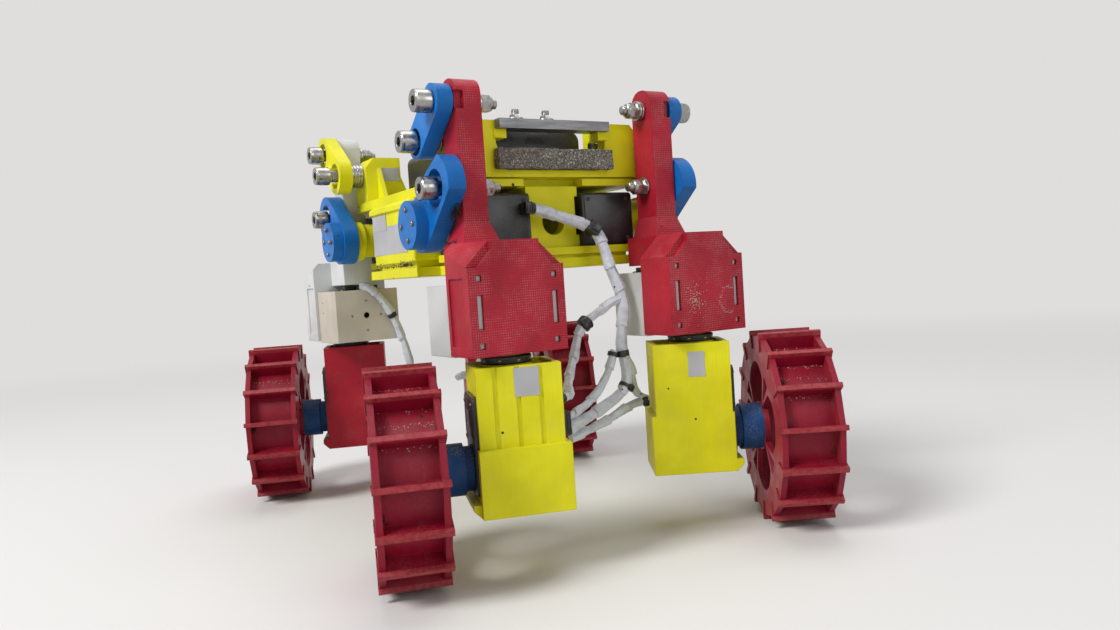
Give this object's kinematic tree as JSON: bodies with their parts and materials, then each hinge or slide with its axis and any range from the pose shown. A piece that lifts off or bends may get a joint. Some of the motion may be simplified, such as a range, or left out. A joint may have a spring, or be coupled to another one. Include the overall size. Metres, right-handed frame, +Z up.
{
  "type": "four-wheel planetary rover prototype with steered, lifting legs",
  "caption": "Small 3-D printed planetary rover prototype: cross-shaped chassis, parallel lift links, steered knuckles and grousered wheels.",
  "frame": {"origin": "on the ground under the middle of the rover", "axes": "+X forward, +Y left, +Z up"},
  "size_m": [0.4176, 0.3012, 0.2595],
  "materials": {
    "yellow_print": "printed, fine layer lines",
    "red_print": "printed, woven infill showing",
    "blue_print": "printed, satin",
    "white_print": "printed, satin",
    "cover_print": "printed, slightly translucent",
    "servo_case": "moulded, fine grain",
    "bolt_steel": "zinc plated",
    "aluminium_bar": "sawn and brushed",
    "grey_foam": "granular closed-cell foam",
    "battery_wrap": "shrink wrap",
    "white_tape": "taped cable bundle",
    "black_connector": "moulded"
  },
  "bodies": {
    "chassis": {"base_plate": "yellow_print", "columns": "yellow_print", "electronics_box": "yellow_print", "deck": "yellow_print", "battery_pack": "battery_wrap", "foam_pad": "grey_foam", "top_bar": "aluminium_bar", "lift_servos": "servo_case", "upper_pivot_bolts": "bolt_steel", "harness_fittings": "black_connector", "harness": "white_tape", "harness_branch": "white_tape"},
    "front_left_lower_arm": {"front_left_lower_link": "blue_print", "front_left_horn_flange": "yellow_print"},
    "front_left_upper_arm": {"front_left_upper_link": "blue_print"},
    "front_left_leg_body": {"front_left_leg": "red_print", "front_left_leg_bolts": "bolt_steel", "front_left_steer_cover": "cover_print", "front_left_steer_servo": "servo_case", "front_left_lead": "white_tape"},
    "front_left_steering_body": {"front_left_knuckle": "yellow_print", "front_left_wheel_servo": "servo_case"},
    "front_left_wheel_body": {"front_left_wheel_hub": "blue_print", "front_left_wheel": "red_print"},
    "front_right_lower_arm": {"front_right_lower_link": "blue_print", "front_right_horn_flange": "yellow_print"},
    "front_right_upper_arm": {"front_right_upper_link": "blue_print"},
    "front_right_leg_body": {"front_right_leg": "red_print", "front_right_leg_bolts": "bolt_steel", "front_right_steer_cover": "cover_print", "front_right_steer_servo": "servo_case", "front_right_lead": "white_tape"},
    "front_right_steering_body": {"front_right_knuckle": "yellow_print", "front_right_wheel_servo": "servo_case"},
    "front_right_wheel_body": {"front_right_wheel_hub": "blue_print", "front_right_wheel": "red_print"},
    "rear_left_lower_arm": {"rear_left_lower_link": "blue_print", "rear_left_horn_flange": "yellow_print"},
    "rear_left_upper_arm": {"rear_left_upper_link": "blue_print"},
    "rear_left_leg_body": {"rear_left_leg": "red_print", "rear_left_leg_bolts": "bolt_steel", "rear_left_steer_cover": "cover_print", "rear_left_steer_servo": "servo_case", "rear_left_lead": "white_tape"},
    "rear_left_steering_body": {"rear_left_knuckle": "red_print", "rear_left_wheel_servo": "servo_case"},
    "rear_left_wheel_body": {"rear_left_wheel_hub": "blue_print", "rear_left_wheel": "red_print"},
    "rear_right_lower_arm": {"rear_right_lower_link": "blue_print", "rear_right_horn_flange": "yellow_print"},
    "rear_right_upper_arm": {"rear_right_upper_link": "yellow_print"},
    "rear_right_leg_body": {"rear_right_leg": "white_print", "rear_right_leg_bolts": "bolt_steel", "rear_right_steer_cover": "cover_print", "rear_right_steer_servo": "servo_case", "rear_right_lead": "white_tape"},
    "rear_right_steering_body": {"rear_right_knuckle": "red_print", "rear_right_wheel_servo": "servo_case"},
    "rear_right_wheel_body": {"rear_right_wheel_hub": "blue_print", "rear_right_wheel": "red_print"}
  },
  "joints": [
    {"name": "front_left_lift", "type": "hinge", "parent": "chassis", "child": "front_left_lower_arm", "pos_m": [0.074, 0.076, 0.184], "axis": [0, 1, 0], "range_deg": [-5, 72]},
    {"name": "front_left_upper_follow", "type": "hinge", "parent": "chassis", "child": "front_left_upper_arm", "pos_m": [0.074, 0.076, 0.2295], "axis": [0, 1, 0], "range_deg": [-5, 72]},
    {"name": "front_left_leg_level", "type": "hinge", "parent": "front_left_lower_arm", "child": "front_left_leg_body", "pos_m": [0.098, 0.076, 0.2015], "axis": [0, 1, 0], "range_deg": [-72, 5]},
    {"name": "front_left_steer", "type": "hinge", "parent": "front_left_leg_body", "child": "front_left_steering_body", "pos_m": [0.127, 0.061, 0.111], "axis": [0, 0, 1], "range_deg": [-29, 91], "deforming": ["front_left_lead"]},
    {"name": "front_left_spin", "type": "hinge", "parent": "front_left_steering_body", "child": "front_left_wheel_body", "pos_m": [0.15533, 0.10814, 0.056], "axis": [0.515, 0.8572, 0], "continuous": true},
    {"name": "front_right_lift", "type": "hinge", "parent": "chassis", "child": "front_right_lower_arm", "pos_m": [0.074, -0.076, 0.184], "axis": [0, 1, 0], "range_deg": [-5, 72]},
    {"name": "front_right_upper_follow", "type": "hinge", "parent": "chassis", "child": "front_right_upper_arm", "pos_m": [0.074, -0.076, 0.2295], "axis": [0, 1, 0], "range_deg": [-5, 72]},
    {"name": "front_right_leg_level", "type": "hinge", "parent": "front_right_lower_arm", "child": "front_right_leg_body", "pos_m": [0.098, -0.076, 0.2015], "axis": [0, 1, 0], "range_deg": [-72, 5]},
    {"name": "front_right_steer", "type": "hinge", "parent": "front_right_leg_body", "child": "front_right_steering_body", "pos_m": [0.127, -0.061, 0.111], "axis": [0, 0, 1], "range_deg": [-42, 78], "deforming": ["front_right_lead"]},
    {"name": "front_right_spin", "type": "hinge", "parent": "front_right_steering_body", "child": "front_right_wheel_body", "pos_m": [0.11, -0.11331, 0.056], "axis": [0.309, 0.9511, 0], "continuous": true},
    {"name": "rear_left_lift", "type": "hinge", "parent": "chassis", "child": "rear_left_lower_arm", "pos_m": [-0.074, 0.076, 0.184], "axis": [0, 1, 0], "range_deg": [-72, 5]},
    {"name": "rear_left_upper_follow", "type": "hinge", "parent": "chassis", "child": "rear_left_upper_arm", "pos_m": [-0.074, 0.076, 0.2295], "axis": [0, 1, 0], "range_deg": [-72, 5]},
    {"name": "rear_left_leg_level", "type": "hinge", "parent": "rear_left_lower_arm", "child": "rear_left_leg_body", "pos_m": [-0.098, 0.076, 0.2015], "axis": [0, 1, 0], "range_deg": [-5, 72]},
    {"name": "rear_left_steer", "type": "hinge", "parent": "rear_left_leg_body", "child": "rear_left_steering_body", "pos_m": [-0.127, 0.061, 0.111], "axis": [0, 0, 1], "range_deg": [-39, 81], "deforming": ["rear_left_lead"]},
    {"name": "rear_left_spin", "type": "hinge", "parent": "rear_left_steering_body", "child": "rear_left_wheel_body", "pos_m": [-0.10729, 0.11235, 0.056], "axis": [0.3584, 0.9336, 0], "continuous": true},
    {"name": "rear_right_lift", "type": "hinge", "parent": "chassis", "child": "rear_right_lower_arm", "pos_m": [-0.074, -0.076, 0.184], "axis": [0, 1, 0], "range_deg": [-72, 5]},
    {"name": "rear_right_upper_follow", "type": "hinge", "parent": "chassis", "child": "rear_right_upper_arm", "pos_m": [-0.074, -0.076, 0.2295], "axis": [0, 1, 0], "range_deg": [-72, 5]},
    {"name": "rear_right_leg_level", "type": "hinge", "parent": "rear_right_lower_arm", "child": "rear_right_leg_body", "pos_m": [-0.098, -0.076, 0.2015], "axis": [0, 1, 0], "range_deg": [-5, 72]},
    {"name": "rear_right_steer", "type": "hinge", "parent": "rear_right_leg_body", "child": "rear_right_steering_body", "pos_m": [-0.127, -0.061, 0.111], "axis": [0, 0, 1], "range_deg": [-39, 81], "deforming": ["rear_right_lead"]},
    {"name": "rear_right_spin", "type": "hinge", "parent": "rear_right_steering_body", "child": "rear_right_wheel_body", "pos_m": [-0.14671, -0.11235, 0.056], "axis": [0.3584, 0.9336, 0], "continuous": true}
  ],
  "couplings": [
    {"joint": "front_left_upper_follow", "follows": "front_left_lift", "ratio": 1},
    {"joint": "front_left_leg_level", "follows": "front_left_lift", "ratio": -1},
    {"joint": "front_right_upper_follow", "follows": "front_right_lift", "ratio": 1},
    {"joint": "front_right_leg_level", "follows": "front_right_lift", "ratio": -1},
    {"joint": "rear_left_upper_follow", "follows": "rear_left_lift", "ratio": 1},
    {"joint": "rear_left_leg_level", "follows": "rear_left_lift", "ratio": -1},
    {"joint": "rear_right_upper_follow", "follows": "rear_right_lift", "ratio": 1},
    {"joint": "rear_right_leg_level", "follows": "rear_right_lift", "ratio": -1}
  ]
}
